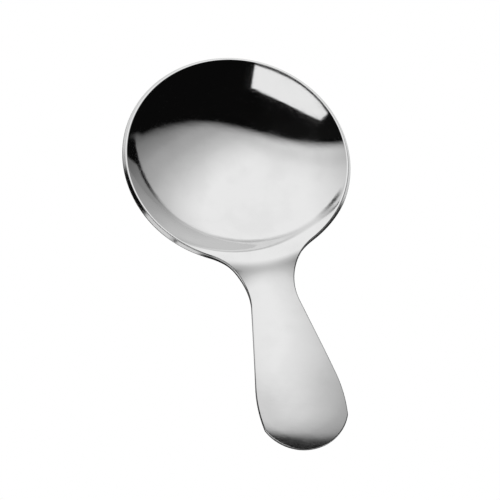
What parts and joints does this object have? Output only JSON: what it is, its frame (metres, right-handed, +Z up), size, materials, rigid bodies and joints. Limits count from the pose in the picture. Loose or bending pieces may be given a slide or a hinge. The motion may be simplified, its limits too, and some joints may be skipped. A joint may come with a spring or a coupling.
{
  "type": "spoon",
  "caption": "Short round spoon pressed from polished stainless steel sheet, with a wide shallow bowl and a short flat handle that widens to a rounded end.",
  "frame": {"origin": "on the table, under the middle of the overall length and width", "axes": "+Z up from the table, +Y from the handle's end towards the bowl's far rim, +X across"},
  "size_m": [0.0478, 0.0872, 0.0114],
  "materials": {
    "polished_steel": "mirror-polished stainless steel with fine wear scratches and lightly brushed edges"
  },
  "bodies": {
    "root": {"spoon": "polished_steel"}
  },
  "joints": []
}
